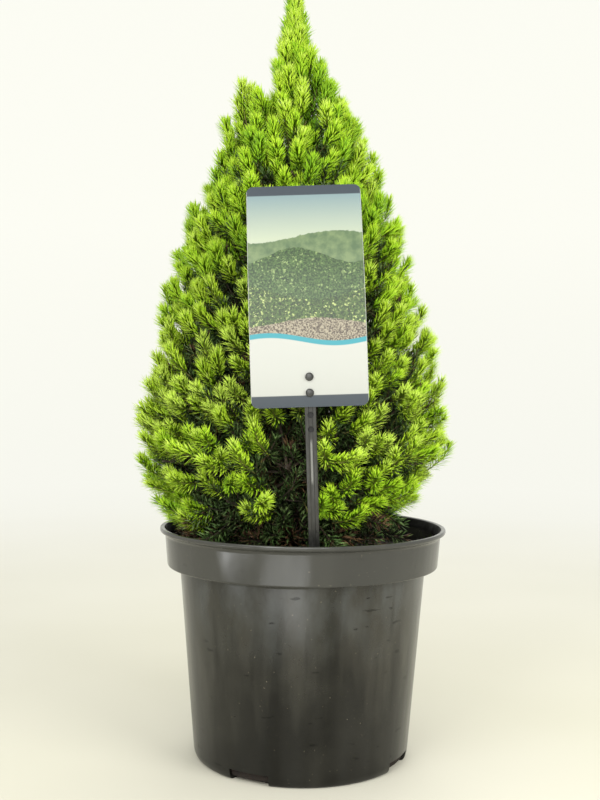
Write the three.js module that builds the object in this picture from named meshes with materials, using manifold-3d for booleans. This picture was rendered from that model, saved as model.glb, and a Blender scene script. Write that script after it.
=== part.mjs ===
// A young dwarf conifer in a round nursery pot, with its plant label on a stem.
// Millimetres, +Z up. The origin is the middle of the pot's flat underside, and the front faces -Y.
// The crown is a dense cone. It is cut into masses by six upright planes through its axis and by
// sloping planes that rise outwards, and every mass grows by one rule: a stem from the trunk or
// from a bough, twigs that leave the stem, and a spray of needles at the end of each twig.
import * as THREE from "three";
import { ConvexGeometry } from "three/addons/geometries/ConvexGeometry.js";
import { mergeVertices } from "three/addons/utils/BufferGeometryUtils.js";
import Module from "manifold-3d";

const wasm = await Module();
wasm.setup();

// Driving dimensions
const CLEARANCE = 0.3;
const POT_HEIGHT = 150;
const POT_FOOT_RADIUS = 70.5;
const POT_BODY_RADIUS = 81;
const POT_COLLAR_RADIUS = 90;
const POT_LIP_RADIUS = 94.5;
const POT_COLLAR_HEIGHT = 25;
const POT_WALL = 1.8;
const POT_SEGMENTS = 40;
const SOIL_TOP = 132;
const SOIL_SEGMENTS = 24;
const TRUNK_FOOT = { x: -7, y: 0 };
const TRUNK_TIP = { x: -9, y: 2, z: 482 };
const TRUNK_RADIUS = 5.5;
const TRUNK_TIP_RADIUS = 1.1;
const ROOT_FLARE = 3.2;
const ROOT_FLARE_HEIGHT = 7;
const CROWN_AXIS_X = -8;
const CROWN_TOP = 505;
const SECTOR_COUNT = 6;
const SPRAY_SPACING = 29;
const WIDEST_SPRAY = 23;

// Small tools for vectors, random numbers and closed meshes
const { PI, cos, sin, hypot, min, max, round } = Math;
const radians = (degrees) => (degrees * PI) / 180;
const mix = (a, b, t) => a + (b - a) * t;
const vector = (x, y, z) => new THREE.Vector3(x, y, z);

function seededRandom(seed) {
  let state = seed >>> 0;
  return () => {
    state = (Math.imul(state, 1664525) + 1013904223) >>> 0;
    return state / 2 ** 32;
  };
}

// Reads a value off a list of [position, value] pairs, with straight lines between them.
function readOff(pairs, position) {
  const last = pairs.length - 1;
  if (position <= pairs[0][0]) return pairs[0][1];
  if (position >= pairs[last][0]) return pairs[last][1];
  const next = pairs.findIndex(([at]) => at > position);
  const [low, high] = [pairs[next - 1], pairs[next]];
  return mix(low[1], high[1], (position - low[0]) / (high[0] - low[0]));
}

function solidOf(geometry) {
  const bare = geometry.clone();
  bare.deleteAttribute("normal");
  bare.deleteAttribute("uv");
  const merged = mergeVertices(bare, 1e-4);
  return new wasm.Manifold(
    new wasm.Mesh({
      numProp: 3,
      vertProperties: new Float32Array(merged.attributes.position.array),
      triVerts: new Uint32Array(merged.index.array),
    }),
  );
}

function geometryOf(solid) {
  const { vertProperties, triVerts } = solid.getMesh();
  return new THREE.BufferGeometry()
    .setAttribute("position", new THREE.BufferAttribute(vertProperties, 3))
    .setIndex(new THREE.BufferAttribute(triVerts, 1));
}

function closedGeometry(points, triangles) {
  const positions = points.flatMap((p) => [p.x, p.y, p.z]);
  return new THREE.BufferGeometry()
    .setAttribute("position", new THREE.Float32BufferAttribute(positions, 3))
    .setIndex(triangles);
}

// A closed skin over rings of equal size, which run anticlockwise as seen from the last ring.
function loft(rings) {
  const count = rings[0].length;
  const triangles = [];
  for (let r = 0; r + 1 < rings.length; r++) {
    for (let i = 0; i < count; i++) {
      const a = r * count + i;
      const b = r * count + ((i + 1) % count);
      triangles.push(a, b, b + count, a, b + count, a + count);
    }
  }
  const top = (rings.length - 1) * count;
  for (let i = 1; i + 1 < count; i++) {
    triangles.push(0, i + 1, i, top, top + i, top + i + 1);
  }
  return closedGeometry(rings.flat(), triangles);
}

// Two directions square to a given one, which turn anticlockwise round it.
function across(direction) {
  const seed = Math.abs(direction.z) < 0.9 ? vector(0, 0, 1) : vector(1, 0, 0);
  const first = seed.cross(direction).normalize();
  const second = direction.clone().cross(first).normalize();
  return [first, second];
}

function ring(centre, direction, radius, count, turn = 0) {
  const [first, second] = across(direction);
  return Array.from({ length: count }, (_, i) => {
    const angle = turn + (2 * PI * i) / count;
    return centre
      .clone()
      .addScaledVector(first, radius * cos(angle))
      .addScaledVector(second, radius * sin(angle));
  });
}

// A tapered limb with flat ends. Its end faces stand square to facing.
function limb(from, to, fromRadius, toRadius, sides, facing) {
  const direction = facing ?? to.clone().sub(from).normalize();
  return loft([
    ring(from, direction, fromRadius, sides),
    ring(to, direction, toRadius, sides),
  ]);
}

// A solid of revolution about the upright axis, from [radius, height] pairs.
function turned(outline, segments) {
  const profile = outline.map(([radius, height]) => new THREE.Vector2(radius, height));
  return new THREE.LatheGeometry(profile, segments).rotateX(PI / 2);
}

// The pot: a tapered wall, a stepped collar with a turned lip, and a flat bottom
function potGeometry() {
  const ledge = POT_HEIGHT - POT_COLLAR_HEIGHT;
  const outline = [
    [0, 0],
    [POT_FOOT_RADIUS - 1.5, 0],
    [POT_FOOT_RADIUS, 1.5],
    [POT_BODY_RADIUS, ledge - 1],
    [POT_BODY_RADIUS + 1, ledge],
    [POT_COLLAR_RADIUS - 1.5, ledge],
    [POT_COLLAR_RADIUS - 0.4, ledge + 1.2],
    [POT_COLLAR_RADIUS + 1, POT_HEIGHT - 5],
    [POT_LIP_RADIUS - 1, POT_HEIGHT - 2.4],
    [POT_LIP_RADIUS, POT_HEIGHT - 1.2],
    [POT_LIP_RADIUS - 0.8, POT_HEIGHT],
    [POT_LIP_RADIUS - 3.6, POT_HEIGHT - 1.2],
    [POT_COLLAR_RADIUS + 1 - POT_WALL, POT_HEIGHT - 5],
    [POT_COLLAR_RADIUS - 0.4 - POT_WALL, ledge + POT_WALL],
    [POT_BODY_RADIUS - POT_WALL, ledge + POT_WALL - 0.4],
    [POT_FOOT_RADIUS - POT_WALL, 3],
    [POT_FOOT_RADIUS - 3, POT_WALL],
    [0, POT_WALL],
  ];
  const shell = solidOf(turned(outline, POT_SEGMENTS));
  return geometryOf(drainNotches().reduce((pot, notch) => pot.subtract(notch), shell));
}

// Four cut-outs through the corner of wall and bottom, a quarter turn apart
const NOTCH_WIDTH = radians(22);
const NOTCH_HEIGHT = 7;
const NOTCH_INNER_RADIUS = 63;
const FIRST_NOTCH = radians(-90 - 27);

function drainNotches() {
  const outerRadius = POT_FOOT_RADIUS + 4;
  return [0, 1, 2, 3].map((quarter) => {
    const middle = FIRST_NOTCH + (quarter * PI) / 2;
    const [from, to] = [middle - NOTCH_WIDTH / 2, middle + NOTCH_WIDTH / 2];
    const sector = new THREE.Shape();
    sector.absarc(0, 0, outerRadius, from, to, false);
    sector.absarc(0, 0, NOTCH_INNER_RADIUS, to, from, true);
    const cutter = new THREE.ExtrudeGeometry(sector, {
      depth: NOTCH_HEIGHT + 1,
      bevelEnabled: false,
      curveSegments: 4,
    });
    return solidOf(cutter.translate(0, 0, -1));
  });
}

// The growing medium fills the pot to just above the collar's ledge, with a rough top all round a
// flat patch that the trunk stands on
const SOIL_ROUGHNESS = 2.4;
const SOIL_FLAT_RADIUS = 26;

function soilSolid() {
  const ledge = POT_HEIGHT - POT_COLLAR_HEIGHT;
  const wallAt = (height) => mix(POT_FOOT_RADIUS, POT_BODY_RADIUS, height / ledge) - POT_WALL;
  const collarRadius = POT_COLLAR_RADIUS - 0.4 - POT_WALL - 2 * CLEARANCE;
  const outline = [
    [0, POT_WALL + CLEARANCE],
    [wallAt(3) - 4, POT_WALL + CLEARANCE],
    [wallAt(6) - 2 * CLEARANCE, 6],
    [wallAt(ledge) - 2 * CLEARANCE, ledge],
    [wallAt(ledge) - 2 * CLEARANCE, ledge + POT_WALL + CLEARANCE],
    [collarRadius, ledge + POT_WALL + CLEARANCE],
    [collarRadius, SOIL_TOP - 1],
    [64, SOIL_TOP],
    [44, SOIL_TOP],
    [SOIL_FLAT_RADIUS, SOIL_TOP],
    [0, SOIL_TOP],
  ];
  const geometry = turned(outline, SOIL_SEGMENTS);
  geometry.deleteAttribute("normal");
  geometry.deleteAttribute("uv");
  const merged = mergeVertices(geometry, 1e-3);
  const random = seededRandom(11);
  const places = merged.attributes.position;
  for (let i = 0; i < places.count; i++) {
    const outside = hypot(places.getX(i), places.getY(i)) > SOIL_FLAT_RADIUS + 1;
    const nearTop = places.getZ(i) > SOIL_TOP - 1.5;
    if (outside && nearTop) places.setZ(i, places.getZ(i) + SOIL_ROUGHNESS * (random() - 0.5));
  }
  return solidOf(merged);
}

// The trunk: a slightly wandering line from the soil to the crown's top, flared and lobed at the root
const TRUNK_BASE = SOIL_TOP + CLEARANCE;
const TRUNK_SIDES = 8;
const TRUNK_WANDER = 1.2;
const TRUNK_BENDS = 2.5;
const ROOT_LOBES = 0.14;

function trunkCentre(height) {
  const share = (height - TRUNK_BASE) / (TRUNK_TIP.z - TRUNK_BASE);
  const wander = TRUNK_WANDER * sin(TRUNK_BENDS * PI * share);
  const x = mix(TRUNK_FOOT.x, TRUNK_TIP.x, share) + wander;
  return vector(x, mix(TRUNK_FOOT.y, TRUNK_TIP.y, share) - 0.6 * wander, height);
}

function trunkRadius(height) {
  const share = (height - TRUNK_BASE) / (TRUNK_TIP.z - TRUNK_BASE);
  const flare = ROOT_FLARE * Math.exp(-(height - TRUNK_BASE) / ROOT_FLARE_HEIGHT);
  return mix(TRUNK_RADIUS, TRUNK_TIP_RADIUS, share) + flare;
}

// The trunk's solid, or that solid grown by a margin on every side.
function trunkSolid(grown) {
  const heights = [0, 4, 10, 22, 50, 90, 140, 200, 260, 310, TRUNK_TIP.z - TRUNK_BASE];
  const up = vector(0, 0, 1);
  const rings = heights.map((above, level) => {
    const height = TRUNK_BASE + above;
    const lowest = level === 0 ? -2 * grown : 0;
    const highest = above === heights.at(-1) ? grown : 0;
    const centre = trunkCentre(height).add(vector(0, 0, lowest + highest));
    const lobes = ROOT_LOBES * Math.exp(-above / ROOT_FLARE_HEIGHT);
    return ring(centre, up, trunkRadius(height) + grown, TRUNK_SIDES).map((point, i) => {
      const outward = point.clone().sub(centre);
      return centre.clone().addScaledVector(outward, 1 + lobes * cos(PI * i));
    });
  });
  return solidOf(loft(rings));
}

const trunkSpace = trunkSolid(CLEARANCE);

// The plant label: a card that leans back on the crown, pegged to a stem that stands in the soil.
// Both follow one bowed line, which stands furthest forward at the crown's belly.
const LABEL_BELLY = { y: -110.5, z: 245 };
const LABEL_BOW_BELOW = 0.00288;
const LABEL_BOW_ABOVE = 0.0017;
const LABEL_FOOT = 100;
const CARD_WIDTH = 66;
const CARD_BOTTOM = 231;
const CARD_TOP = 359;
const CARD_THICKNESS = 0.7;
const CARD_CORNER = 4;
const CARD_X = 3;
const CARD_TILT = 2.4;
const STEM_WIDTH = 6.4;
const STEM_THICKNESS = 2.2;
const STEM_TOP = 258;
const PEG_HEIGHTS = [239, 248];
const PEG_RADIUS = 2.2;

function labelLineY(height) {
  const above = height - LABEL_BELLY.z;
  return LABEL_BELLY.y + (above < 0 ? LABEL_BOW_BELOW : LABEL_BOW_ABOVE) * above ** 2;
}

// A flat strip bowed along the label's line, between two heights.
function bowedStrip(width, thickness, from, to, steps, middleX, behind) {
  const rings = Array.from({ length: steps + 1 }, (_, i) => {
    const height = mix(from, to, i / steps);
    const slope = labelLineY(height + 0.5) - labelLineY(height - 0.5);
    const forward = vector(0, -1, slope).normalize();
    const centre = vector(middleX, labelLineY(height), height).addScaledVector(forward, -behind);
    return [[-1, 1], [1, 1], [1, -1], [-1, -1]].map(([side, face]) =>
      centre
        .clone()
        .add(vector((side * width) / 2, 0, 0))
        .addScaledVector(forward, (face * thickness) / 2),
    );
  });
  return solidOf(loft(rings));
}

// Turns a label piece in its own plane about the card's foot, as it hangs a little askew.
function askew(solid) {
  const [foot, back] = [[-CARD_X, 0, -CARD_BOTTOM], [CARD_X, 0, CARD_BOTTOM]];
  return solid.translate(foot).rotate([0, -CARD_TILT, 0]).translate(back);
}

const PEG_LENGTH = 5;
const PEG_SIDES = 8;
const STEM_BEHIND = (CARD_THICKNESS + STEM_THICKNESS) / 2 + CLEARANCE;

// A peg runs from inside the stem to a little in front of the card.
function pegSolid(height, radius) {
  const peg = new THREE.CylinderGeometry(radius, radius, PEG_LENGTH, PEG_SIDES);
  return solidOf(peg).translate([CARD_X, labelLineY(height) + STEM_THICKNESS / 2, height]);
}

function cardSolid() {
  const [half, height] = [CARD_WIDTH / 2, CARD_TOP - CARD_BOTTOM];
  const c = CARD_CORNER;
  const face = new THREE.Shape()
    .moveTo(-half + c, 0)
    .lineTo(half - c, 0)
    .absarc(half - c, c, c, -PI / 2, 0, false)
    .lineTo(half, height - c)
    .absarc(half - c, height - c, c, 0, PI / 2, false)
    .lineTo(-half + c, height)
    .absarc(-half + c, height - c, c, PI / 2, PI, false)
    .lineTo(-half, c)
    .absarc(-half + c, c, c, PI, 1.5 * PI, false);
  const depth = -LABEL_BELLY.y;
  const cutter = new THREE.ExtrudeGeometry(face, { depth, bevelEnabled: false, curveSegments: 3 })
    .rotateX(PI / 2)
    .translate(CARD_X, -depth / 2, CARD_BOTTOM);
  const strip = bowedStrip(CARD_WIDTH + 2, CARD_THICKNESS, CARD_BOTTOM - 1, CARD_TOP + 1, 6, CARD_X, 0);
  const blank = strip.intersect(solidOf(cutter));
  const holes = PEG_HEIGHTS.map((at) => pegSolid(at, PEG_RADIUS + CLEARANCE));
  return askew(holes.reduce((card, hole) => card.subtract(hole), blank));
}

function stemSolid() {
  const strip = bowedStrip(STEM_WIDTH, STEM_THICKNESS, LABEL_FOOT, STEM_TOP, 8, CARD_X, STEM_BEHIND);
  const pegs = PEG_HEIGHTS.map((height) => pegSolid(height, PEG_RADIUS));
  return askew(wasm.Manifold.union([strip, ...pegs]));
}

// Where the stem stands in the soil, a little wider than the stem.
function stemSlot() {
  const [width, thickness] = [STEM_WIDTH, STEM_THICKNESS].map((size) => size + 2 * CLEARANCE);
  const [from, to] = [LABEL_FOOT - CLEARANCE, SOIL_TOP + 12];
  return askew(bowedStrip(width, thickness, from, to, 3, CARD_X, STEM_BEHIND));
}

// The room that the label needs, which the sprays behind it keep clear of.
const LABEL_GAP = 1.2;
const labelSpace = (() => {
  const [width, thickness] = [STEM_WIDTH, STEM_THICKNESS].map((size) => size + 2 * LABEL_GAP);
  const card = bowedStrip(CARD_WIDTH, 2 * LABEL_GAP, CARD_BOTTOM, CARD_TOP, 5, CARD_X, 0);
  return card.add(bowedStrip(width, thickness, LABEL_FOOT, STEM_TOP, 5, CARD_X, STEM_BEHIND));
})();

// The crown's outline, the furthest reach of the tips at each height, and how steeply shoots rise
const CROWN_REACH = [
  [148, 62],
  [168, 86],
  [202, 106],
  [262, 97],
  [301, 86],
  [341, 75],
  [372, 64],
  [400, 54],
  [440, 33],
  [462, 16],
  [490, 8],
  [CROWN_TOP, 1],
];
const SHOOT_RISE = [
  [160, 6],
  [200, 24],
  [260, 42],
  [340, 56],
  [420, 67],
  [500, 88],
];

// Sloping planes between the tiers: their height at the axis and their rise for each mm outwards
const TIER_PLANES = [
  { height: 136, rise: 0.19 },
  { height: 200, rise: 0.4 },
  { height: 270, rise: 0.75 },
  { height: 377, rise: 1.1 },
];
const TIERS = [
  { name: "low", rows: 3, sprayLength: 38, coreDepth: 21, coreInner: 36, hasBough: true },
  { name: "middle", rows: 3, sprayLength: 38, coreDepth: 20, coreInner: 30, hasBough: true },
  { name: "high", rows: 3, sprayLength: 33, coreDepth: 16, coreInner: 12, hasBough: false },
];
// The lowest and the highest row of tips, as shares of the way up a mass
const LOWEST_ROW = 0.18;
const HIGHEST_ROW = 0.88;
const SECTOR_NAMES = ["front", "front_right", "back_right", "back", "back_left", "front_left"];
const HALF_SECTOR = PI / SECTOR_COUNT;
const NARROWEST = 4;
const HALVINGS = 30;

const reachAt = (height) => readOff(CROWN_REACH, height);
const riseAt = (height) => radians(readOff(SHOOT_RISE, height));
const sectorAngle = (sector) => radians(-90) + 2 * HALF_SECTOR * sector;

// The space of one mass: a flat-sided wedge of the crown, with points given by how high they lie
// between its two sloping planes, how far to its side, and how deep under the outline.
function wedge(sector, tier) {
  const angle = sectorAngle(sector);
  const outward = vector(cos(angle), sin(angle), 0);
  const sideways = vector(-sin(angle), cos(angle), 0);
  const axis = vector(CROWN_AXIS_X, 0, 0);
  const [floor, ceiling] = [TIER_PLANES[tier], TIER_PLANES[tier + 1]];

  function holds(point, gap) {
    const local = point.clone().sub(axis);
    const along = local.dot(outward);
    const aside = Math.abs(local.dot(sideways));
    const sideRoom = along * sin(HALF_SECTOR) - aside * cos(HALF_SECTOR);
    const floorRoom = point.z - floor.height - floor.rise * along;
    const ceilingRoom = ceiling.height + ceiling.rise * along - point.z;
    return min(sideRoom, floorRoom, ceilingRoom) > gap;
  }

  // The point at a share of the way up and to the side, found by halving.
  function place(up, side, depth) {
    const turn = side * HALF_SECTOR;
    const base = mix(floor.height, ceiling.height, up);
    const rise = mix(floor.rise, ceiling.rise, up);
    const radiusAt = (height) => max(reachAt(height) - depth, NARROWEST);
    let [low, high] = [0, CROWN_TOP];
    for (let i = 0; i < HALVINGS; i++) {
      const height = (low + high) / 2;
      if (height - base - rise * radiusAt(height) * cos(turn) > 0) high = height;
      else low = height;
    }
    const radius = radiusAt(low);
    return vector(CROWN_AXIS_X + radius * cos(angle + turn), radius * sin(angle + turn), low);
  }

  // A point at a distance straight out from the axis, on the wedge's middle or to its side.
  function inside(up, along, aside) {
    const base = mix(floor.height, ceiling.height, up);
    const rise = mix(floor.rise, ceiling.rise, up);
    return axis
      .clone()
      .addScaledVector(outward, along)
      .addScaledVector(sideways, aside)
      .add(vector(0, 0, base + rise * along));
  }
  return { sector, tier, angle, outward, holds, place, inside };
}

// A spray of needles: a slim core whose two upper bands of faces are drawn out to points,
// standing for the needles, round one longer point at the tip.
const SPRAY_SIDES = 4;

function sprayPoints(base, tip, width, turn) {
  const direction = tip.clone().sub(base).normalize();
  const length = tip.distanceTo(base);
  const at = (share) => base.clone().addScaledVector(direction, share * length);
  const half = PI / SPRAY_SIDES;
  const thick = 0.2 * width;
  return [
    base,
    ...ring(at(0.28), direction, thick, SPRAY_SIDES, turn),
    ...ring(at(0.54), direction, thick, SPRAY_SIDES, turn),
    ...ring(at(0.78), direction, 0.7 * thick, SPRAY_SIDES, turn),
    ...ring(at(0.7), direction, 0.5 * width, SPRAY_SIDES, turn + half),
    ...ring(at(0.92), direction, 0.34 * width, SPRAY_SIDES, turn + half),
    tip,
  ];
}

function sprayGeometry(points) {
  const n = SPRAY_SIDES;
  const [lower, middle, upper, lowPeaks, highPeaks, tip] = [0, 1, 2, 3, 4, 5].map((level) => 1 + level * n);
  const triangles = [];
  for (let i = 0; i < n; i++) {
    const j = (i + 1) % n;
    triangles.push(0, lower + j, lower + i, upper + i, upper + j, tip);
    for (const [under, over, peaks] of [[lower, middle, lowPeaks], [middle, upper, highPeaks]]) {
      const peak = peaks + i;
      triangles.push(under + i, under + j, peak, under + j, over + j, peak);
      triangles.push(over + j, over + i, peak, over + i, under + i, peak);
    }
  }
  return closedGeometry(points, triangles);
}

// One mass of foliage: its core, its stem, and rows of sprays on twigs from the stem. The tips of a
// row share its width evenly, and every other row is shifted a little to the side.
const SIDE_SPREAD = 0.97;
const ROW_SHIFT = 0.1;
const SIDE_SCATTER = 0.12;
const ROW_SCATTER = 0.05;
const TIP_SCATTER = 3;
const TWIG_JOINT = 0.35;
const TWIG_RADII = [1.2, 0.8];

function massSolid(space) {
  const tier = TIERS[space.tier];
  const random = seededRandom(101 + 37 * space.tier + 7 * space.sector);
  const core = coreSolid(space, tier);
  const stem = stemLine(space, tier);
  const parts = [core, stem.solid];
  for (let row = 0; row < tier.rows; row++) {
    const rowUp = mix(LOWEST_ROW, HIGHEST_ROW, row / (tier.rows - 1));
    const middle = space.place(rowUp, 0, 0);
    const radius = hypot(middle.x - CROWN_AXIS_X, middle.y);
    const count = max(2, round((2 * HALF_SECTOR * radius) / SPRAY_SPACING));
    const spacing = (2 * HALF_SECTOR * radius) / count;
    const width = min(0.84 * spacing, WIDEST_SPRAY);
    for (let i = 0; i < count; i++) {
      const shift = ROW_SHIFT * (row % 2 ? 1 : -1) + SIDE_SCATTER * (random() - 0.5);
      const side = ((2 * i + 1) / count - 1) * SIDE_SPREAD + shift / count;
      const tip = space.place(rowUp + ROW_SCATTER * (random() - 0.5), side, TIP_SCATTER * random());
      const spray = spraySolid(space, tier, tip, side, width, random);
      if (!spray) continue;
      const root = stem.at(0.35 + 0.5 * random());
      parts.push(spray.solid, solidOf(limb(root, spray.joint, ...TWIG_RADII, 3)));
    }
  }
  const whole = wasm.Manifold.union(parts).subtract(trunkSpace);
  return largestPiece(whole);
}

function largestPiece(solid) {
  return solid.decompose().sort((a, b) => b.volume() - a.volume())[0];
}

// The smaller core, which the sprays stand out of.
function coreSolid(space, tier) {
  const points = [];
  for (const up of [0.07, 0.35, 0.65, 0.9]) {
    for (const side of [-0.86, -0.3, 0.3, 0.86]) {
      points.push(space.place(up, side, tier.coreDepth));
    }
    for (const side of [-1, 1]) {
      const aside = side * 0.8 * tier.coreInner * Math.tan(HALF_SECTOR);
      points.push(space.inside(up, tier.coreInner, aside));
    }
  }
  return solidOf(new ConvexGeometry(points.filter((point) => space.holds(point, CLEARANCE))));
}

// Boughs start and end at these shares of the way up their tier, and taper between two radii.
const BOUGH_START_UP = 0.3;
const BOUGH_END_UP = 0.45;
const BOUGH_RADII = [3, 2.3];
const BOUGH_STAGGER = 6;

// The stem runs out from the bough's end, or from the trunk, to the middle of the mass. Stems on
// the trunk leave it by turns lower and higher.
const STEM_STAGGER = 3;
const STEM_END_DEPTH = 14;

function stemLine(space, tier) {
  const to = space.place(0.55, 0, tier.coreDepth + STEM_END_DEPTH);
  const offset = space.sector % 2 ? STEM_STAGGER : -STEM_STAGGER;
  const from = tier.hasBough
    ? space.inside(BOUGH_END_UP, tier.coreInner, 0)
    : trunkCentre(space.inside(BOUGH_START_UP, 0, 0).z + offset);
  const fromRadius = tier.hasBough ? BOUGH_RADII[1] : TWIG_RADII[0];
  return {
    solid: solidOf(limb(from, to, fromRadius, TWIG_RADII[0], 6, space.outward)),
    at: (share) => from.clone().lerp(to, share),
  };
}

// A spray with its tip at a given point, or nothing where it would leave the mass's own space.
const SPACE_GAP = CLEARANCE / 2 + 0.05;

function spraySolid(space, tier, tip, side, width, random) {
  const heading = space.angle + side * HALF_SECTOR * 0.9 + 0.16 * (random() - 0.5);
  const rise = riseAt(tip.z) + 0.2 * (random() - 0.5);
  const length = tier.sprayLength * (0.92 + 0.12 * random());
  const direction = vector(cos(heading) * cos(rise), sin(heading) * cos(rise), sin(rise));
  const base = tip.clone().addScaledVector(direction, -length);
  const turn = 2 * PI * random();
  const joint = base.clone().lerp(tip, TWIG_JOINT);
  for (const share of [1, 0.86, 0.72]) {
    const points = sprayPoints(base, tip, share * width, turn);
    if (!points.every((point) => space.holds(point, SPACE_GAP))) continue;
    const solid = solidOf(sprayGeometry(points));
    if (solid.intersect(labelSpace).isEmpty()) return { solid, joint };
  }
  return null;
}

// The bough of a lower mass: one tapering limb from the trunk to the mass's inner face. Boughs
// leave the trunk by turns a little lower and a little higher than the middle of their tier.
function boughSolid(space) {
  const tier = TIERS[space.tier];
  const end = space.inside(BOUGH_END_UP, tier.coreInner - CLEARANCE, 0);
  const offset = space.sector % 2 ? BOUGH_STAGGER : -BOUGH_STAGGER;
  const start = trunkCentre(space.inside(BOUGH_START_UP, 0, 0).z + offset);
  const bough = solidOf(limb(start, end, ...BOUGH_RADII, 8, space.outward));
  return largestPiece(bough.subtract(trunkSpace));
}

// The leader: the crown's narrow top, all round the trunk's end
const LEADER_ROWS = [
  { height: 434, count: 6, length: 27, width: 19 },
  { height: 452, count: 5, length: 32, width: 17 },
  { height: 476, count: 4, length: 30, width: 13 },
];

const LEADER_CORE = [
  { above: 0, radius: 7 },
  { above: 30, radius: 7.5 },
  { above: 62, radius: 4.5 },
];
const LEADER_CORE_START = 12;
const TOP_SPRAY_WIDTH = 12;

function leaderSolid() {
  const ceiling = TIER_PLANES.at(-1);
  const lowest = ceiling.height + LEADER_CORE_START * ceiling.rise + 2;
  const random = seededRandom(977);
  const up = vector(0, 0, 1);
  const coreRings = LEADER_CORE.map(({ above, radius }) => {
    return ring(trunkCentre(lowest + above), up, radius, 8);
  });
  const coreTop = ring(trunkCentre(TRUNK_TIP.z + 5), up, 1.5, 8);
  const parts = [solidOf(loft([...coreRings, coreTop]))];
  const standsClear = (point) =>
    point.z - ceiling.height - ceiling.rise * hypot(point.x - CROWN_AXIS_X, point.y) > CLEARANCE;
  for (const { height, count, length, width } of LEADER_ROWS) {
    for (let i = 0; i < count; i++) {
      const heading = (2 * PI * (i + 0.3 * random())) / count + height;
      const rise = riseAt(height) - 0.05;
      const direction = vector(cos(heading) * cos(rise), sin(heading) * cos(rise), sin(rise));
      const reach = reachAt(height);
      const tipHeight = height + 5 * random();
      const tip = vector(CROWN_AXIS_X + reach * cos(heading), reach * sin(heading), tipHeight);
      const base = tip.clone().addScaledVector(direction, -length);
      const points = sprayPoints(base, tip, width, 2 * PI * random());
      if (!points.every(standsClear)) continue;
      const root = trunkCentre(base.z + 2);
      const joint = base.clone().lerp(tip, TWIG_JOINT);
      parts.push(solidOf(sprayGeometry(points)), solidOf(limb(root, joint, ...TWIG_RADII, 3)));
    }
  }
  const topTip = vector(trunkCentre(TRUNK_TIP.z).x, TRUNK_TIP.y, CROWN_TOP);
  const topBase = trunkCentre(TRUNK_TIP.z - 8);
  parts.push(solidOf(sprayGeometry(sprayPoints(topBase, topTip, TOP_SPRAY_WIDTH, 0))));
  return largestPiece(wasm.Manifold.union(parts).subtract(trunkSpace));
}

// Materials, by sub-part
const materials = {
  pot: new THREE.MeshStandardMaterial({ color: 0x34342f, roughness: 0.42, metalness: 0 }),
  soil: new THREE.MeshStandardMaterial({ color: 0x2a1c14, roughness: 1, metalness: 0 }),
  bark: new THREE.MeshStandardMaterial({ color: 0x6b5238, roughness: 0.9, metalness: 0 }),
  foliage: new THREE.MeshStandardMaterial({ color: 0x7fae2c, roughness: 0.6, metalness: 0 }),
  card: new THREE.MeshStandardMaterial({ color: 0xecebe1, roughness: 0.35, metalness: 0 }),
  stem: new THREE.MeshStandardMaterial({ color: 0x45453f, roughness: 0.45, metalness: 0 }),
};

// Assembly
const plant = new THREE.Group();

function addNode(name, geometry, material) {
  const mesh = new THREE.Mesh(geometry, material);
  mesh.name = name;
  plant.add(mesh);
}

addNode("pot", potGeometry(), materials.pot);
addNode("soil", geometryOf(soilSolid().subtract(stemSlot())), materials.soil);
addNode("trunk", geometryOf(trunkSolid(0)), materials.bark);
TIERS.forEach((tier, level) => {
  SECTOR_NAMES.forEach((sectorName, sector) => {
    const space = wedge(sector, level);
    if (tier.hasBough) {
      addNode(`bough_${tier.name}_${sectorName}`, geometryOf(boughSolid(space)), materials.bark);
    }
    addNode(`foliage_${tier.name}_${sectorName}`, geometryOf(massSolid(space)), materials.foliage);
  });
});
addNode("foliage_leader", geometryOf(leaderSolid()), materials.foliage);
addNode("label_card", geometryOf(cardSolid()), materials.card);
addNode("label_stem", geometryOf(stemSolid()), materials.stem);

export default plant;
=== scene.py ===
# The looks of a young dwarf conifer in a round nursery pot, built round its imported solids.
import math

import bmesh
import bpy
import numpy as np
from mathutils import Matrix, Vector, noise


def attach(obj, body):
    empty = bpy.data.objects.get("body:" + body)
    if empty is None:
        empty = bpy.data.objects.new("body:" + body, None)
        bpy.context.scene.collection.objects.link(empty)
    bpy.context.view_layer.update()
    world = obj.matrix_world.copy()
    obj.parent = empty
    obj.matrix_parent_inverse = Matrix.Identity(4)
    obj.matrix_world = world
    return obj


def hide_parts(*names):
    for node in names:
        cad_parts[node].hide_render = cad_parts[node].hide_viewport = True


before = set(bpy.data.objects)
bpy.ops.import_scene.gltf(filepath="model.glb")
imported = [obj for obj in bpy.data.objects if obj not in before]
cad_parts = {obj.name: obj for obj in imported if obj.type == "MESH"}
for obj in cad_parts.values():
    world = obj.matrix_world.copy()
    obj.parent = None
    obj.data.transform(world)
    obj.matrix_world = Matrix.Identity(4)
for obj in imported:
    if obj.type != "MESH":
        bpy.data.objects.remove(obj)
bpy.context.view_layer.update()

# Lengths are millimetres in the frame of the solids. MM brings them to metres where a mesh is made.
MM = 0.001
BODY = "root"

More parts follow.
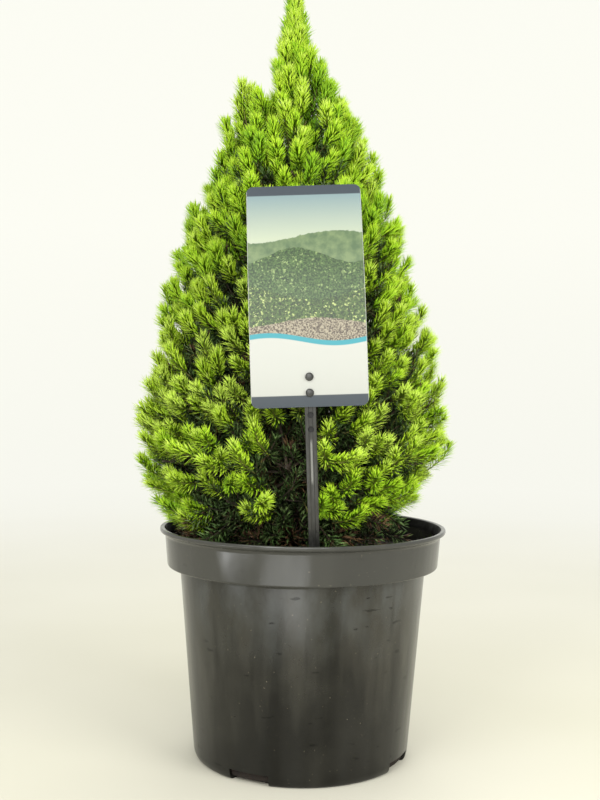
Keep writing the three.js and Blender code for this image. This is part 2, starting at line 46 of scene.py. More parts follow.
# Driving sizes, the same as the solids'
CLEARANCE = 0.3
POT_HEIGHT = 150
POT_FOOT_RADIUS = 70.5
POT_BODY_RADIUS = 81
POT_COLLAR_RADIUS = 90
POT_LIP_RADIUS = 94.5
POT_COLLAR_HEIGHT = 25
POT_WALL = 1.8
SOIL_TOP = 132
TRUNK_BASE = SOIL_TOP + CLEARANCE
TRUNK_FOOT = (-7, 0)
TRUNK_TIP = (-9, 2, 482)
TRUNK_RADIUS = 5.5
TRUNK_TIP_RADIUS = 1.1
ROOT_FLARE = 3.2
ROOT_FLARE_HEIGHT = 7
ROOT_LOBES = 0.14
TRUNK_WANDER = 1.2
TRUNK_BENDS = 2.5
CROWN_AXIS_X = -8
CROWN_TOP = 505
CROWN_REACH = [
    (148, 62), (168, 86), (202, 106), (262, 97), (301, 86), (341, 75),
    (372, 64), (400, 54), (440, 33), (462, 16), (490, 8), (CROWN_TOP, 1),
]
SHOOT_RISE = [(160, 6), (200, 24), (260, 42), (340, 56), (420, 67), (500, 88)]
TIER_PLANES = [(136, 0.19), (200, 0.4), (270, 0.75), (377, 1.1)]
SECTOR_NAMES = ["front", "front_right", "back_right", "back", "back_left", "front_left"]
SECTOR_COUNT = len(SECTOR_NAMES)
HALF_SECTOR = math.pi / SECTOR_COUNT
NARROWEST = 4
HALVINGS = 24
BOUGH_START_UP = 0.3
BOUGH_END_UP = 0.45
BOUGH_RADIUS = 3
BOUGH_STAGGER = 6
STEM_STAGGER = 3
STEM_END_DEPTH = 14
LABEL_BELLY = (-110.5, 245)
LABEL_BOW_BELOW = 0.00288
LABEL_BOW_ABOVE = 0.0017
LABEL_FOOT = 100
CARD_WIDTH = 66
CARD_BOTTOM = 231
CARD_TOP = 359
CARD_THICKNESS = 0.7
CARD_CORNER = 4
CARD_X = 3
CARD_TILT = math.radians(2.4)
STEM_WIDTH = 6.4
STEM_THICKNESS = 2.2
STEM_TOP = 258
STEM_BEHIND = (CARD_THICKNESS + STEM_THICKNESS) / 2 + CLEARANCE
PEG_HEIGHTS = (239, 248)
PEG_RADIUS = 2.2

# The crown's three levels. A layer of shoots is its spacing, its depth under the surface, and how far
# that depth varies.
BARE_LAYERS = [(14, 36, 9), (17, 54, 9), (20, 76, 9)]
TIERS = [
    {
        "name": "low", "core_depth": 21, "core_inner": 36, "has_bough": True,
        "fresh": [(15, 7, 6.5)], "older": [(16.2, 14, 4), (16.2, 26, 6)], "bare": BARE_LAYERS,
    },
    {
        "name": "middle", "core_depth": 20, "core_inner": 30, "has_bough": True,
        "fresh": [(14.4, 7, 6.5)], "older": [(16.2, 14, 4), (16.2, 26, 6)], "bare": BARE_LAYERS,
    },
    {
        "name": "high", "core_depth": 16, "core_inner": 12, "has_bough": False,
        "fresh": [(14.4, 7, 6.5), (15, 17, 4)], "older": [(14.8, 14, 4), (14.8, 26, 6)],
        "bare": [(11, 32, 9)],
    },
]
SHOOT_LENGTH = 24
BARE_SHOOT_LENGTH = 25

# The dark gap low at the front, behind the label's stem: its two sides, its front and its top
GAP_LEFT, GAP_RIGHT, GAP_FRONT, GAP_TOP = -22, 9, -30, 226
# Near the soil the fresh shoots thin out: the height below which that starts, the share that is left
# out, the larger share left out in a stretch on the left, and the lower edge of what grows on the right
THIN_BELOW = 168
LEFT_OUT, STRETCH_LEFT_OUT = 0.35, 0.8
STRETCH_LEFT, STRETCH_RIGHT = -66, -14
RIGHT_FROM, RIGHT_LOWEST = 30, 163

# For each kind of shoot: how many needles, their length and half their width, how far in degrees
# they lean out at the shoot's foot and tip, from which share of the shoot they spread as a crown and
# how far, and how much they all turn up
STYLES = {
    "tuft": (134, 10, 0.47, (42, 42), (0.66, 48), 0.08),
    "star": (118, 9, 0.47, (56, 46), (0.7, 52), 0.1),
    "older": (50, 8.8, 0.5, (66, 50), (0.88, 50), 0.1),
    "joint": (24, 7.8, 0.44, (60, 54), (2, 0), 0.05),
    "inner": (30, 12, 0.84, (74, 55), (0.88, 50), 0),
}
NEEDLE_FOLD = 0.9
YOUNG_TWIG, OLD_TWIG = 0, 1

GOLDEN_TURN = math.pi * (3 - math.sqrt(5))
rng = np.random.default_rng(4210)


# Small tools for numbers and vectors
def mix(a, b, t):
    return a + (b - a) * t


def unit(vectors):
    return vectors / np.linalg.norm(vectors, axis=-1, keepdims=True)


def scatter(amount, shape=None):
    """Seeded random numbers, spread evenly from -amount to amount."""
    return amount * rng.uniform(-1, 1, shape)


def any_turn(count):
    """Seeded directions, all the way round."""
    return rng.uniform(0, 2 * math.pi, count)


def full_turn(steps):
    """Directions evenly round a circle."""
    return 2 * math.pi * np.arange(steps) / steps


def toward(heading, rise):
    level = np.cos(rise)
    return np.stack([np.cos(heading) * level, np.sin(heading) * level, np.sin(rise)], axis=-1)


def round_axis(out, heading, height, axis_x=CROWN_AXIS_X):
    """Points at a distance and in a direction from the crown's axis."""
    return np.stack([axis_x + out * np.cos(heading), out * np.sin(heading), height], -1)


def across(directions):
    """Two directions square to each given one."""
    steep = np.abs(directions[..., 2:3]) > 0.9
    seed = np.where(steep, np.array([1.0, 0, 0]), np.array([0, 0, 1.0]))
    first = unit(np.cross(seed, directions))
    return first, np.cross(directions, first)


def rgb(red, green, blue):
    """An sRGB colour, 0 to 255, as the linear colour that a shader takes."""
    channels = np.array([red, green, blue]) / 255
    bent = np.where(channels <= 0.04045, channels / 12.92, ((channels + 0.055) / 1.055) ** 2.4)
    return (*bent.tolist(), 1.0)


# Objects and meshes
def add_object(name, data):
    made = bpy.data.objects.new(name, data)
    bpy.context.scene.collection.objects.link(made)
    return made


def add_mesh(name, points, faces, materials, material_index=None):
    """A smooth object from points in millimetres."""
    mesh = bpy.data.meshes.new(name)
    points = np.asarray(points, np.float32).reshape(-1, 3) * MM
    mesh.from_pydata(points.tolist(), [], faces.tolist(), shade_flat=False)
    for material in materials:
        mesh.materials.append(material)
    if material_index is not None:
        mesh.polygons.foreach_set("material_index", np.asarray(material_index, np.int32))
    mesh.validate()
    return add_object(name, mesh)


def settle(piece, slot, *replaced):
    """Makes a piece ride on the body and hides the nodes it stands for. Its slot is not used."""
    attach(piece, BODY)
    if replaced:
        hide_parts(*replaced)


def sharpen(piece, degrees):
    """Keeps edges sharp that bend more than an angle."""
    piece.data.set_sharp_from_angle(angle=math.radians(degrees))


def repeated(faces, count, points_each):
    """Face numbers for a run of copies of one small mesh."""
    return (faces + points_each * np.arange(count)[:, None, None]).reshape(-1, 3)


INSIDE_OUT = [0, 3, 2, 1]


def skin(rings, sides):
    """Four-cornered faces between rings of points that follow each other."""
    a = np.arange(rings - 1)[:, None] * sides + np.arange(sides)
    b = np.roll(a, -1, axis=1)
    return np.stack([a, b, b + sides, a + sides], -1).reshape(-1, 4)


def tubes(paths, radii, sides):
    """Closed tubes along many paths of equal length: points, and triangles all facing out.

    There is a radius for each step, or for each corner of each step.
    """
    count, steps = paths.shape[:2]
    tangents = unit(np.gradient(paths, axis=1))
    first, second = across(tangents)
    turns = full_turn(sides)
    radii = radii.reshape(count, steps, -1, 1)
    rings = (
        paths[:, :, None]
        + radii * np.cos(turns)[:, None] * first[:, :, None]
        + radii * np.sin(turns)[:, None] * second[:, :, None]
    )
    walls = skin(steps, sides)
    fan = np.array([(0, i + 1, i) for i in range(1, sides - 1)])
    caps = [fan, fan[:, ::-1] + (steps - 1) * sides]
    one = np.concatenate([walls[:, [0, 1, 2]], walls[:, [0, 2, 3]], *caps])
    return rings.reshape(-1, 3), repeated(one, count, steps * sides)


def curves(starts, ends, end_directions, shares, pull=0.45):
    """Points along curves that leave a start and arrive at an end in a given direction.

    Gives the points and the way that each curve runs there.
    """
    span = np.linalg.norm(ends - starts, axis=-1, keepdims=True)
    handles = (ends - end_directions * span * pull)[:, None]
    start, end, t = starts[:, None], ends[:, None], np.asarray(shares)[:, None]
    points = (1 - t) ** 2 * start + 2 * (1 - t) * t * handles + t**2 * end
    return points, unit((1 - t) * (handles - start) + t * (end - handles) + 1e-6)


def swept(outline, turns):
    """The points of a [radius, height] outline in each of several directions."""
    radius, height = np.asarray(outline, float).T
    turns = turns[:, None]
    return np.stack(np.broadcast_arrays(radius * np.cos(turns), radius * np.sin(turns), height), -1)


def turned(outline, segments):
    """A solid of revolution from a closed [radius, height] outline that leaves out the axis."""
    points = swept(outline, full_turn(segments)).reshape(-1, 3)
    return points, skin(segments + 1, len(outline))[:, INSIDE_OUT] % len(points)


def rounded(corners, steps=5):
    """An outline whose corners are arcs. A corner is [x, y, radius]."""
    points = []
    for index, (x, y, radius) in enumerate(corners):
        here = np.array([x, y], float)
        before = np.array(corners[index - 1][:2], float)
        after = np.array(corners[(index + 1) % len(corners)][:2], float)
        if radius == 0:
            points.append(here)
            continue
        near, far = here + unit(before - here) * radius, here + unit(after - here) * radius
        for t in np.linspace(0, 1, steps):
            points.append((1 - t) ** 2 * near + 2 * (1 - t) * t * here + t**2 * far)
    return np.array(points)


def rough(points, size, octaves=4):
    """Seeded bumps of about a given size in millimetres, from -1 to 1, at each point."""
    return np.array([noise.fractal(Vector(p) / size, 1.0, 2.0, octaves) for p in points])


# Materials
class Paint:
    """A material under construction: its node tree, and short ways to add and join nodes."""

    def __init__(self, name, colour, roughness):
        self.material = bpy.data.materials.new(name)
        self.material.use_nodes = True
        self.tree = self.material.node_tree
        self.shader = self.tree.nodes["Principled BSDF"]
        self.set("Base Color", colour)
        self.set("Roughness", roughness)
        self.material.diffuse_color = colour

    def set(self, socket, value):
        """A number or colour that is the same all over, or the node that gives it."""
        self.join(value, self.shader.inputs[socket])

    def node(self, kind, settings=None, **inputs):
        made = self.tree.nodes.new(kind)
        for name, value in (settings or {}).items():
            setattr(made, name, value)
        for name, value in inputs.items():
            self.join(value, made.inputs[int(name[1:])] if name[1:].isdigit() else made.inputs[name])
        return made

    def join(self, value, socket):
        if isinstance(value, bpy.types.NodeSocket):
            self.tree.links.new(value, socket)
        else:
            socket.default_value = value

    def place(self, stretch=(1, 1, 1)):
        """The place on the object in millimetres, squeezed along each axis."""
        where = self.node("ShaderNodeTexCoord").outputs["Object"]
        scale = tuple(s / MM for s in stretch)
        return self.node("ShaderNodeMapping", Vector=where, Scale=scale).outputs[0]

    def axes(self):
        """X, Y and Z of the place on the object, each in millimetres."""
        return self.node("ShaderNodeSeparateXYZ", Vector=self.place()).outputs

    def noise(self, size, detail=4, rough=0.55, stretch=(1, 1, 1)):
        where = self.place(stretch)
        made = self.node("ShaderNodeTexNoise", Vector=where, Scale=1 / size, Detail=detail, Roughness=rough)
        return made.outputs["Fac"]

    def ramp(self, value, low, high, start=0.0, end=1.0):
        """A value read from low to high as start to end, and held outside."""
        return self.node("ShaderNodeMapRange", _0=value, _1=low, _2=high, _3=start, _4=end).outputs[0]

    def spots(self, size, low, high, start=0.0, end=1.0, **grain):
        """Noise, read as ramp reads a value."""
        return self.ramp(self.noise(size, **grain), low, high, start, end)

    def math(self, operation, a, b=0):
        return self.node("ShaderNodeMath", {"operation": operation}, _0=a, _1=b).outputs[0]

    def plus(self, a, b):
        return self.math("ADD", a, b)

    def minus(self, a, b):
        return self.math("SUBTRACT", a, b)

    def times(self, a, b):
        return self.math("MULTIPLY", a, b)

    def blend(self, share, first, second):
        made = self.node("ShaderNodeMix", {"data_type": "RGBA"}, Factor=share, _6=first, _7=second)
        return made.outputs[2]

    def over(self, colour, amount, share, under):
        """A colour laid over another, by a share of an amount."""
        return self.blend(self.times(share, amount), under, colour)

    def bump(self, height, depth):
        """Relief of a given depth in millimetres."""
        self.set("Normal", self.node("ShaderNodeBump", Height=height, Distance=depth * MM).outputs[0])

    def coloured(self, colour):
        """The finished material, with its colour."""
        self.set("Base Color", colour)
        return self.material


def pot_plastic():
    """Dark grey moulded plastic, satin, with dust, rubbed patches, dried water marks, painted reflection
    streaks and a painted sheen on its upper body.
    """
    paint = Paint("pot_plastic", rgb(48, 48, 43), 0.34)
    height = paint.axes()[2]

    # Vertical bands of two greys, partly plain tone and partly painted reflection streaks, and a pale
    # painted sheen that thins out downwards
    bands = paint.spots(24, 0.38, 0.62, detail=2, stretch=(1, 1, 0.04))
    painted_sheen = paint.times(paint.spots(15, 0.38, 0.68, stretch=(1, 1, 0.5)), paint.ramp(height, 70, 118))
    body = paint.blend(bands, rgb(22, 22, 17), rgb(36, 34, 28))
    # Pale cool grey over the upper body: a painted sheen
    body = paint.over(rgb(66, 69, 69), 0.6, painted_sheen, body)

    # Wet foot with tall tongues, and dark smudges that lie across
    tongues = paint.times(paint.noise(13, detail=3, stretch=(1, 1, 0.12)), 150)
    wet = paint.ramp(paint.minus(height, tongues), 10, -30)
    smudge = paint.spots(9, 0.68, 0.72, detail=2, stretch=(0.6, 0.6, 1.9))
    body = paint.over(rgb(9, 8, 5), 0.9, wet, body)
    body = paint.over(rgb(8, 8, 6), 0.8, smudge, body)
    shine = paint.minus(paint.ramp(bands, 0, 1, 0.42, 0.54), paint.times(wet, 0.12))
    paint.set("Specular IOR Level", paint.minus(shine, paint.times(smudge, 0.14)))
    paint.set("Roughness", paint.spots(17, 0.3, 0.7, 0.12, 0.27, stretch=(1, 1, 0.25)))
    waves = paint.noise(19, detail=2, stretch=(1, 1, 0.4))
    paint.bump(paint.plus(waves, paint.times(paint.noise(0.9, detail=3), 0.08)), 0.3)

    # The collar, dust, dried stains at the foot, and specks of soil
    collar = paint.ramp(height, 124.4, 124.9)
    dust = paint.times(paint.spots(38, 0.45, 0.75, detail=5), 0.55)
    stains = paint.times(paint.spots(11, 0.42, 0.62, stretch=(1, 1, 0.09)), paint.ramp(height, 75, 5))
    specks = paint.spots(1.3, 0.73, 0.78, detail=2)
    grey = paint.blend(collar, body, rgb(47, 47, 44))
    grey = paint.over(rgb(60, 59, 52), 0.5, dust, grey)
    grey = paint.over(rgb(18, 18, 16), 0.7, stains, grey)
    return paint.coloured(paint.over(rgb(150, 140, 118), 0.5, specks, grey))


def pot_inside_painted_shade():
    """The pot's inside: the same plastic, dull, its colour painted near black as shade, with peat dust."""
    paint = Paint("pot_inside_painted_shade", rgb(12, 11, 10), 0.6)
    dust = paint.spots(9, 0.4, 0.72, detail=5)
    paint.set("Roughness", paint.ramp(dust, 0, 1, 0.55, 0.9))
    paint.set("Specular IOR Level", 0.1)
    paint.bump(paint.noise(0.9, detail=3), 0.1)
    # Near black all over: painted shade, mottled with peat dust
    return paint.coloured(paint.blend(dust, rgb(5, 5, 4), rgb(18, 15, 12)))


def peat():
    """Dark damp peat with paler crumbs."""
    paint = Paint("peat", rgb(44, 31, 23), 0.95)
    crumbs = paint.noise(3.2, detail=6, rough=0.7)
    brown = paint.blend(paint.ramp(crumbs, 0.35, 0.65), rgb(14, 10, 8), rgb(38, 27, 20))
    paint.bump(crumbs, 1.2)
    return paint.coloured(paint.blend(paint.spots(0.8, 0.64, 0.72), brown, rgb(60, 44, 32)))


def bark(name, dark, light, size):
    """Young bark: scaly, with cracks that run along the limb."""
    paint = Paint(name, dark, 0.85)
    scales = paint.noise(size, detail=6, rough=0.65, stretch=(1, 1, 0.45))
    paint.set("Roughness", paint.ramp(scales, 0.3, 0.7, 0.75, 0.95))
    paint.bump(scales, size * 0.3)
    return paint.coloured(paint.blend(paint.ramp(scales, 0.35, 0.66), dark, light))


def needle_tints(colours):
    """Materials for needles, which have one plain colour each, and a waxy gloss."""
    tints = []
    for name, colour in colours.items():
        paint = Paint(f"needle_{name}", rgb(*colour), 0.48)
        paint.set("Specular IOR Level", 0.25)
        tints.append(paint.material)
    return tints


FRESH_TINTS = needle_tints({
    "deep": (108, 154, 24),
    "green": (134, 180, 30),
    "bright": (156, 198, 34),
    "lime": (174, 208, 48),
    "pale": (188, 216, 80),
})
OLD_TINTS = needle_tints({
    "old_dark": (40, 52, 24),
    "old_green": (64, 88, 42),
    "old_blue": (92, 112, 64),
    "brown": (68, 49, 34),
    "tan": (100, 77, 52),
})


# The pot
def pot_outline():
    """The solid's outline with its edges rounded."""
    ledge = POT_HEIGHT - POT_COLLAR_HEIGHT
    return rounded([
        (1, 0, 0),
        (POT_FOOT_RADIUS - 1, 0, 2.2),
        (POT_FOOT_RADIUS + 0.4, 4, 1.2),
        (POT_BODY_RADIUS, ledge - 1.5, 1.2),
        (POT_BODY_RADIUS + 1.6, ledge, 0.8),
        (POT_COLLAR_RADIUS - 0.7, ledge, 1.2),
        (POT_COLLAR_RADIUS + 1, POT_HEIGHT - 4.6, 1.6),
        (POT_LIP_RADIUS, POT_HEIGHT - 2.4, 1.1),
        (POT_LIP_RADIUS - 0.2, POT_HEIGHT, 1),
        (POT_LIP_RADIUS - 3.6, POT_HEIGHT - 0.4, 1.2),
        (POT_COLLAR_RADIUS - 0.8, POT_HEIGHT - 5, 1),
        (POT_COLLAR_RADIUS - 2.2, ledge + 1.8, 1),
        (POT_BODY_RADIUS - 1.8, ledge + 1.4, 1),
        (POT_FOOT_RADIUS - POT_WALL, 3, 1),
        (1, POT_WALL, 0),
    ])


def arc_block(inner, outer, low, high, middle, width, steps):
    """A closed block between two radii, two heights and two directions."""
    turns = np.linspace(middle - width / 2, middle + width / 2, steps)
    points = swept([(inner, low), (outer, low), (outer, high), (inner, high)], turns)
    last = (steps - 1) * 4
    ends = [(0, 1, 2, 3), (last + 3, last + 2, last + 1, last)]
    return points, np.concatenate([skin(steps, 4)[:, INSIDE_OUT], ends])


def cut(piece, cutters):
    """Subtracts closed meshes from a piece and keeps the result as its mesh."""
    for cutter in cutters:
        modifier = piece.modifiers.new("cut", "BOOLEAN")
        modifier.operation = "DIFFERENCE"
        modifier.solver = "EXACT"
        modifier.object = cutter
    bpy.context.view_layer.update()
    ready = piece.evaluated_get(bpy.context.evaluated_depsgraph_get())
    mesh = bpy.data.meshes.new_from_object(ready)
    piece.modifiers.clear()
    piece.data = mesh
    mesh.shade_smooth()
    for cutter in cutters:
        bpy.data.objects.remove(cutter)


def build_pot():
    points, faces = turned(pot_outline(), 144)
    pot = add_mesh("pot_shell", points, faces, [pot_plastic()])
    notch_width, notch_height, notch_inner = math.radians(22), 7, 63
    first_notch = math.radians(-90 - 27)
    cutters = []
    for quarter in range(4):
        middle = first_notch + quarter * math.pi / 2
        block = arc_block(notch_inner, POT_FOOT_RADIUS + 4, -1, notch_height, middle, notch_width, 9)
        cutters.append(add_mesh(f"notch_{quarter}", *block, []))
    cut(pot, cutters)
    sharpen(pot, 38)

    # The faces inside, under the lip, take the lining, painted near black as shade. Between the wall's two
    # faces runs a line.
    pot.data.materials.append(pot_inside_painted_shade())
    line_heights, line_radii = (0, POT_HEIGHT - POT_COLLAR_HEIGHT, POT_HEIGHT), (67.5, 80, 92.5)
    for face in pot.data.polygons:
        x, y, z = face.center / MM
        faces_in = face.normal.x * x + face.normal.y * y < 0
        is_inside = math.hypot(x, y) < np.interp(z, line_heights, line_radii)
        if faces_in and is_inside and z < POT_HEIGHT - 0.4:
            face.material_index = len(pot.data.materials) - 1
    settle(pot, "pot", "pot")


# The soil
def small_ball():
    """Points and triangles of a rough ball of radius 1."""
    ball = bmesh.new()
    bmesh.ops.create_icosphere(ball, subdivisions=1, radius=1)
    ball.verts.index_update()
    points = np.array([vertex.co for vertex in ball.verts])
    faces = np.array([[vertex.index for vertex in face.verts] for face in ball.faces])
    ball.free()
    return points, faces


def strewn(radius, count):
    """Seeded places spread evenly over a disc."""
    out = radius * np.sqrt(rng.uniform(0, 1, count))
    turn = any_turn(count)
    return out * np.cos(turn), out * np.sin(turn)


def soil_height(x, y):
    """The soil's top, uneven by a few millimetres."""
    return SOIL_TOP + 1.7 * rough(np.stack([x, y, 0 * x], -1), 17, 5)


def build_soil():
    material = peat()
    top_radius, rings, segments = POT_COLLAR_RADIUS - 2.4, 44, 120
    outline = [(1, 2.2), (POT_FOOT_RADIUS - 2.4, 2.2), (POT_FOOT_RADIUS - 1.9, 4)]
    outline += [(POT_BODY_RADIUS - 2.3, 126.9), (top_radius, 127.6)]
    outline += [(top_radius * share, 0) for share in np.linspace(1, 0.012, rings)]
    points, faces = turned(outline, segments)
    x, y, z = points.T
    points[:, 2] = np.where(z > 0, z, soil_height(x, y))
    settle(add_mesh("soil_bed", points, faces, [material]), "soil", "soil")

    # Loose crumbs
    count = 900
    ball, ball_faces = small_ball()
    x, y = strewn(top_radius - 2, count)
    centres = np.stack([x, y, soil_height(x, y) + 0.2], -1)
    sizes = rng.uniform(0.5, 1.9, (count, 1, 1)) * rng.uniform(0.6, 1.25, (count, len(ball), 3))
    crumbs = centres[:, None] + ball * sizes
    faces = repeated(ball_faces, count, len(ball))
    settle(add_mesh("soil_crumbs", crumbs, faces, [material]), "soil")

    # Fibres, lying every way
    count = 170
    x, y = strewn(top_radius - 9, count)
    middle = np.stack([x, y, np.full(count, SOIL_TOP + 1.4)], -1)
    heading = any_turn(count)
    half = toward(heading, scatter(0.12, count)) * rng.uniform(3, 9, (count, 1))
    bend = toward(heading + scatter(0.9, count), scatter(0.2, count))
    paths, _ = curves(middle - half, middle + half, bend, np.linspace(0, 1, 6))
    radii = np.broadcast_to(np.array([0.2, 0.38, 0.42, 0.36, 0.28, 0.12]), (count, 6))
    fibre = bark("fibre", rgb(38, 27, 20), rgb(80, 58, 40), 3)
    settle(add_mesh("soil_fibres", *tubes(paths, radii, 4), [fibre]), "soil")


# The crown's rule: the same reach, planes and sectors that the solids follow
def reach_at(z):
    return np.interp(z, *np.array(CROWN_REACH).T)


def rise_at(z):
    return np.radians(np.interp(z, *np.array(SHOOT_RISE).T))


def trunk_centre(z):
    z = np.asarray(z, float)
    share = (z - TRUNK_BASE) / (TRUNK_TIP[2] - TRUNK_BASE)
    wander = TRUNK_WANDER * np.sin(TRUNK_BENDS * math.pi * share)
    x = mix(TRUNK_FOOT[0], TRUNK_TIP[0], share) + wander
    y = mix(TRUNK_FOOT[1], TRUNK_TIP[1], share) - 0.6 * wander
    return np.stack([x, y, z], -1)


class Mass:
    """One wedge of the crown, between two sloping planes."""

    def __init__(self, tier, sector):
        self.tier = TIERS[tier]
        self.sector = sector
        self.name = f"{self.tier['name']}_{SECTOR_NAMES[sector]}"
        self.angle = -math.pi / 2 + 2 * HALF_SECTOR * sector
        self.low, self.high = np.array(TIER_PLANES[tier : tier + 2])
        self.stagger = 1 if sector % 2 else -1

    def place(self, up, side, depth):
        """A point a given depth under the crown's surface. Up and side are shares of the mass."""
        base, rise = mix(self.low, self.high, np.asarray(up, float)[..., None]).T
        turn = np.asarray(side, float) * HALF_SECTOR
        below, above = np.zeros_like(base), np.full_like(base, CROWN_TOP)
        for _ in range(HALVINGS):
            z = (below + above) / 2
            radius = np.maximum(reach_at(z) - depth, NARROWEST)
            higher = base + rise * radius * np.cos(turn) > z
            below, above = np.where(higher, z, below), np.where(higher, above, z)
        return round_axis(radius, self.angle + turn, z)

    def inside(self, up, along):
        """A point in the mass's middle direction, a distance from the axis."""
        base, rise = mix(self.low, self.high, up)
        return round_axis(along, self.angle, base + rise * along)

    def limb(self, steps=40):
        """The bough from the trunk to the mass, and on through it to its surface."""
        stagger = BOUGH_STAGGER if self.tier["has_bough"] else STEM_STAGGER
        root = trunk_centre(self.inside(BOUGH_START_UP, 0)[2] + self.stagger * stagger)
        ways = [root]
        if self.tier["has_bough"]:
            ways.append(self.inside(BOUGH_END_UP, self.tier["core_inner"]))
        ways.append(self.place([0.55], [0], self.tier["core_depth"] + STEM_END_DEPTH)[0])
        ways.append(self.place([0.5], [0.05 * self.stagger], 9)[0])
        return smooth_path(np.array(ways), steps)

    def grid(self, spacing, depth, jitter=0.42):
        """Places spread evenly over the surface at about a given spacing, and a depth under it."""
        edge = self.place([0.02, 0.98], [0, 0], depth)
        rows = max(2, round(np.linalg.norm(edge[1] - edge[0]) / spacing))
        ups, sides = [], []
        for row in range(rows):
            up = (row + 0.5) / rows
            radius = np.hypot(*(self.place([up], [0], depth)[0, :2] - (CROWN_AXIS_X, 0)))
            count = max(2, round(2 * HALF_SECTOR * radius / spacing))
            columns = np.arange(count) + (0.62 if row % 2 else 0.38) + scatter(jitter, count)
            sides.append(2 * columns / count - 1)
            ups.append(up + scatter(jitter / rows, count))
        return np.concatenate(ups), np.concatenate(sides)

    def headings(self, side, amount):
        """Which way shoots point that stand at given shares of the mass's width."""
        return self.angle + side * HALF_SECTOR * 0.9 + scatter(amount, len(side))


def smooth_path(ways, steps):
    """A smooth path through a few points."""
    ends = np.concatenate([[2 * ways[0] - ways[1]], ways, [2 * ways[-1] - ways[-2]]])
    spans = len(ways) - 1
    places = np.linspace(0, spans, steps)
    index = np.minimum(places.astype(int), spans - 1)
    t = (places - index)[:, None]
    a, b, c, d = (ends[index + k] for k in range(4))
    bends = (2 * a - 5 * b + 4 * c - d) * t**2 + (3 * b - a - 3 * c + d) * t**3
    return 0.5 * (2 * b + (c - a) * t + bends)


# Trunk and limbs, with bark relief
def with_relief(paths, radii, sides, size, depth):
    """Radii for each corner of each step, uneven as bark is."""
    ring = toward(full_turn(sides), np.zeros(sides)) * radii[..., None, None]
    where = (paths[:, :, None] + ring) * (1, 1, 0.5)
    bumps = rough(where.reshape(-1, 3), size).reshape(where.shape[:3])
    return radii[..., None] * (1 + depth * bumps)


def build_trunk(material):
    steps, sides = 110, 28
    heights = np.linspace(TRUNK_BASE, TRUNK_TIP[2], steps)
    above = heights - TRUNK_BASE
    flare = np.exp(-above / ROOT_FLARE_HEIGHT)
    radii = mix(TRUNK_RADIUS, TRUNK_TIP_RADIUS, above / above[-1]) + ROOT_FLARE * flare
    lobes = ROOT_LOBES * flare[:, None] * np.cos(4 * full_turn(sides))
    paths = trunk_centre(heights)[None]
    radii = with_relief(paths, radii[None], sides, 4.5, 0.13) * (1 + lobes)
    settle(add_mesh("trunk_bark", *tubes(paths, radii, sides), [material]), "bark", "trunk")


def build_limbs(masses, material):
    """Each tier's boughs, each with its run on through the mass."""
    sides = 12
    for tier in TIERS:
        own = [mass for mass in masses if mass.tier is tier]
        paths = np.array([mass.limb() for mass in own])
        share = np.linspace(0, 1, paths.shape[1])
        thick = BOUGH_RADIUS if tier["has_bough"] else 1.9
        radii = thick * (1 - 0.78 * share**0.8) + 0.8 * np.exp(-share * 26)
        radii = with_relief(paths, np.broadcast_to(radii, paths.shape[:2]), sides, 3.2, 0.16)
        piece = add_mesh(f"limbs_{tier['name']}", *tubes(paths, radii, sides), [material])
        replaced = [f"bough_{mass.name}" for mass in own] if tier["has_bough"] else []
        settle(piece, "bark", *replaced)


# Shoots and needles
def label_line(z):
    """Where the bowed label runs, front to back."""
    bow = np.where(z < LABEL_BELLY[1], LABEL_BOW_BELOW, LABEL_BOW_ABOVE)
    return LABEL_BELLY[0] + bow * (z - LABEL_BELLY[1]) ** 2


def is_free(points):
    """Whether points keep off the label, the pot's wall and the soil."""
    x, y, z = np.moveaxis(points, -1, 0)
    aside = np.abs(x - (CARD_X - (z - CARD_BOTTOM) * math.tan(CARD_TILT)))
    near_card = (z > CARD_BOTTOM - 4) & (z < CARD_TOP + 3) & (aside < CARD_WIDTH / 2 + 1.5)
    near_stem = (z < STEM_TOP + 3) & (aside < STEM_WIDTH / 2 + 1.2)
    behind = label_line(z)
    in_label = (near_card & (y < behind + 2)) | (near_stem & (y < behind + 4.5))
    in_pot = (z < POT_HEIGHT + 1.5) & (np.hypot(x, y) > POT_COLLAR_RADIUS - 3.4)
    return ~(in_label | in_pot | (z < SOIL_TOP + 1.2))


